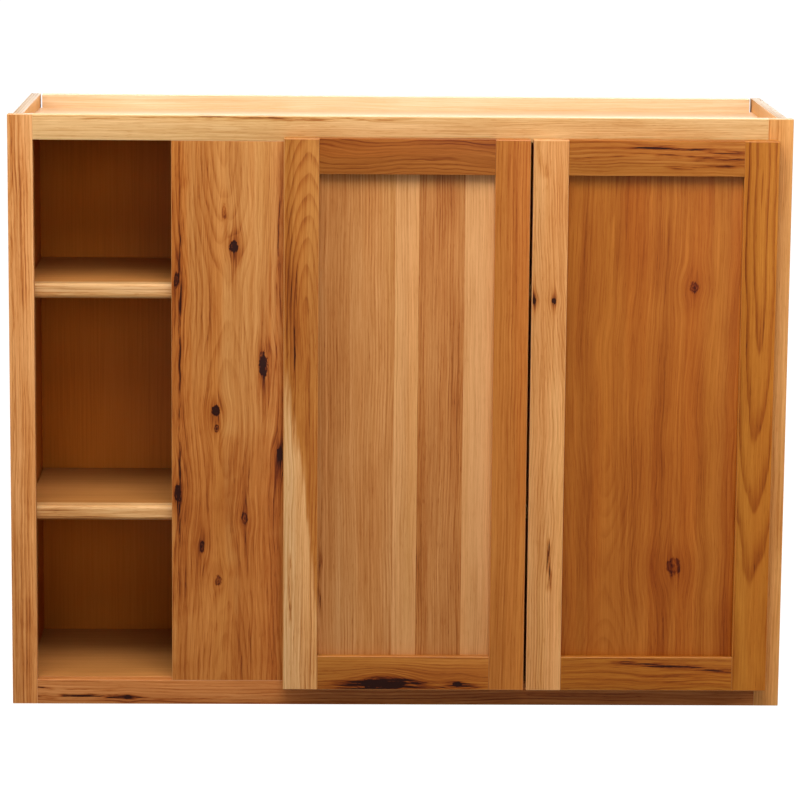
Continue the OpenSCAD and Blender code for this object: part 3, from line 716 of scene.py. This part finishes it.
def weigh_edges(bm, box, fine_weight):
    """Gives each outer corner its width of easing, and keeps short and inner corners sharp."""
    layer = bm.edges.layers.float.get(BEVEL_WEIGHT) or bm.edges.layers.float.new(BEVEL_WEIGHT)
    for e in bm.edges:
        if len(e.link_faces) != 2 or e.calc_face_angle(0.0) < CORNER:
            continue
        if e.calc_length() < SHORTEST_EASED or not e.is_convex:
            e.smooth = False
            continue
        a, b = (v.co for v in e.verts)
        e[layer] = 1.0 if faces_shared(a, b, box) >= 2 else fine_weight


def eased(node, material, arris, outer, outer_width, fine=FINE, segments=3):
    """A copy of a CAD board with its edges eased: finely all over, and more on the edges that lie on the
    outer box, which is where a door or a frame is rounded most. The eased faces take the arris material,
    whose paler colour is partly a painted highlight."""
    mesh = frame["nodes"][node].data.copy()
    piece = bpy.data.objects.new("wood_" + node, mesh)
    scene.collection.objects.link(piece)
    bm = bmesh.new()
    bm.from_mesh(mesh)
    bmesh.ops.remove_doubles(bm, verts=bm.verts, dist=SAME_POINT)
    bmesh.ops.dissolve_limit(bm, angle_limit=FLAT, verts=bm.verts, edges=bm.edges)
    weigh_edges(bm, outer, fine / outer_width)
    bm.to_mesh(mesh)
    bm.free()
    bevel = piece.modifiers.new("ease", "BEVEL")
    bevel.limit_method = "WEIGHT"
    bevel.width = outer_width
    bevel.segments = segments
    bevel.harden_normals = True
    bevel.material = 1
    for poly in mesh.polygons:
        poly.use_smooth = True
    mesh.materials.clear()
    mesh.materials.append(material)
    mesh.materials.append(arris)
    bpy.context.view_layer.update()
    final = bpy.data.meshes.new_from_object(piece.evaluated_get(bpy.context.evaluated_depsgraph_get()))
    piece.modifiers.clear()
    piece.data = final
    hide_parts(node)
    for body, members in frame["record"]["behaviour"]["bodies"].items():
        if node in members:
            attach(piece, body)


def dress(node, material):
    """Gives a CAD object its one material."""
    data = frame["nodes"][node].data
    data.materials.clear()
    data.materials.append(material)


for node, spec in WOOD.items():
    material = timber(("maple_" if "hanging" in node else "hickory_") + node, node, **spec)
    if node == "frame_dowels" or "nosing" in node:
        dress(node, material)
        continue
    if "_door_" in node:
        easing = dict(outer=DOORS[node.split("_")[0]], outer_width=DOOR_ROUND, fine=DOOR_FINE)
    elif "hanging" in node:
        easing = dict(outer=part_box(node), outer_width=RAIL_ROUND)
    else:
        easing = dict(outer=FRAME_BOX, outer_width=FRAME_ROUND)
    # The eased edges get a paler copy of the board's colour: partly sanding, partly a painted highlight
    eased(node, material, sanded_and_highlit("arris_" + node, spec["tint"]), **easing)

# The plywood's eased edges get the same paler colour: partly sanding, partly a painted highlight
ply_arris = sanded_and_highlit("arris_ply", "BD8449")
for node, spec in PLY.items():
    eased(node, ply("ply_" + node, node, **spec), ply_arris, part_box(node), VENEER_ROUND,
          fine=VENEER_FINE, segments=2)

nickel = metal("nickel", ("C9C7C0", "A9A79F"), 0.30)
zinc = metal("yellow_zinc", ("C9A452", "9C7B3A"), 0.34)
bumper = clear_plastic("bumper")
for node in frame["nodes"]:
    if node in WOOD or node in PLY:
        continue
    if "bumpers" in node:
        dress(node, bumper)
    elif node in ("carcass_screws", "hanging_rail_screws"):
        dress(node, zinc)
    else:
        dress(node, nickel)


# ----------------------------------------------------------------------- scene

FLOOR_REACH = 30.0
PAPER_CYCLES = 6.0
OVERLIT = 0.86  # how much of the paper's own light the camera sees
PAPER_GLOW = 1.25

floor_mesh = bpy.data.meshes.new("floor")
corners = [(-1, -1), (1, -1), (1, 1), (-1, 1)]
floor_mesh.from_pydata([(x * FLOOR_REACH, y * FLOOR_REACH, 0) for x, y in corners], [], [(0, 1, 2, 3)])
floor = bpy.data.objects.new("floor", floor_mesh)
floor.location = (0, 0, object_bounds()[0][2])
scene.collection.objects.link(floor)
paper = Shader("floor_paper")
fleck = paper.even_noise(PAPER_CYCLES, 3.0)
paper.set(Base_Color=paper.mix(fleck, lin("989897"), lin("8F8F8E")))
paper.bsdf.inputs["Roughness"].default_value = 0.9
paper.bsdf.inputs[SPECULAR].default_value = 0.0
# The paper is overlit for the camera, so that it reads as white far behind the cabinet too
glow = paper.tree.nodes.new("ShaderNodeEmission")
blend = paper.tree.nodes.new("ShaderNodeMixShader")
ray = paper.tree.nodes.new("ShaderNodeLightPath")
paper.tree.links.new(paper.mul(ray.outputs["Is Camera Ray"], OVERLIT), blend.inputs[0])
paper.tree.links.new(paper.bsdf.outputs[0], blend.inputs[1])
paper.tree.links.new(glow.outputs[0], blend.inputs[2])
paper.tree.links.new(blend.outputs[0], paper.out.inputs[0])
glow.inputs[1].default_value = PAPER_GLOW
floor_mesh.materials.append(paper.material)

# The room is white to the camera, dim to the surfaces and brighter in their gloss
ROOM_COLOUR = (1.0, 0.985, 0.96, 1.0)
ROOM_LIGHT = 0.05
ROOM_GLOSS = 0.40

world = bpy.data.worlds.new("studio")
scene.world = world
world.use_nodes = True
wt = world.node_tree
wt.nodes.clear()
w_out = wt.nodes.new("ShaderNodeOutputWorld")
seen = wt.nodes.new("ShaderNodeBackground")
light = wt.nodes.new("ShaderNodeBackground")
pick = wt.nodes.new("ShaderNodeMixShader")
path = wt.nodes.new("ShaderNodeLightPath")
seen.inputs[0].default_value = (1.0, 1.0, 1.0, 1.0)
seen.inputs[1].default_value = 1.0
light.inputs[0].default_value = ROOM_COLOUR
room = wt.nodes.new("ShaderNodeMath")
room.operation = "MULTIPLY_ADD"
room.inputs[1].default_value = ROOM_GLOSS
room.inputs[2].default_value = ROOM_LIGHT
for source, target in (
    (path.outputs["Is Glossy Ray"], room.inputs[0]),
    (room.outputs[0], light.inputs[1]),
    (path.outputs["Is Camera Ray"], pick.inputs[0]),
    (light.outputs[0], pick.inputs[1]),
    (seen.outputs[0], pick.inputs[2]),
    (pick.outputs[0], w_out.inputs[0]),
):
    wt.links.new(source, target)

SOFTBOX_COLOUR = (1.0, 0.97, 0.93)
# Name, place, aim, width and height in metres, power in watts
SOFTBOXES = (
    ("key", (-0.2, -1.75, 2.25), (0.0, -0.3, -0.3), 2.6, 1.2, 84.0),
    ("front", (0.2, -4.4, 3.0), (0.0, -0.3, -0.35), 3.0, 1.6, 47.0),
    ("fill", (0.3, -5.4, 0.7), (0.0, -0.3, -0.35), 2.6, 1.6, 32.0),
    ("left", (-2.4, -0.85, 1.0), (0.0, -0.35, -0.3), 0.8, 1.6, 38.0),
    ("right", (2.7, -0.95, 0.95), (0.1, -0.2, -0.2), 1.0, 1.6, 33.0),
    ("behind", (0.4, 3.4, 0.9), (0.0, 0.0, -0.35), 2.6, 1.6, 46.0),
    ("top", (0.0, -0.35, 2.6), (0.0, -0.2, 0.0), 3.2, 1.0, 29.0),
)
for name, place, aim, width, height, power in SOFTBOXES:
    data = bpy.data.lights.new(name, "AREA")
    data.shape = "RECTANGLE"
    data.size, data.size_y = width, height
    data.energy = power
    data.color = SOFTBOX_COLOUR
    lamp = bpy.data.objects.new(name, data)
    lamp.location = place
    lamp.rotation_euler = (Vector(aim) - Vector(place)).to_track_quat("-Z", "Y").to_euler()
    scene.collection.objects.link(lamp)

# The camera stands 4.8 m in front, a little left of the middle, and looks down on the top
CAMERA_AT = (-0.1015, -4.7566, 0.4601)
PITCH, YAW, ROLL = 0.1728, 0.0231, 0.0088
LENS = 159.5
SENSOR = 36.0
forward = Vector((math.sin(YAW) * math.cos(PITCH), math.cos(YAW) * math.cos(PITCH), -math.sin(PITCH)))
level = Vector((math.cos(YAW), -math.sin(YAW), 0.0))
upright = level.cross(forward)
right = math.cos(ROLL) * level + math.sin(ROLL) * upright
up = -math.sin(ROLL) * level + math.cos(ROLL) * upright
camera_data = bpy.data.cameras.new("camera")
camera_data.sensor_width = SENSOR
camera_data.lens = LENS
camera_data.clip_start, camera_data.clip_end = 0.1, 100.0
camera = bpy.data.objects.new("camera", camera_data)
turn = Matrix((right, up, -forward)).transposed()
camera.matrix_world = Matrix.Translation(CAMERA_AT) @ turn.to_4x4()
scene.collection.objects.link(camera)
scene.camera = camera
scene.view_settings.view_transform = "Standard"
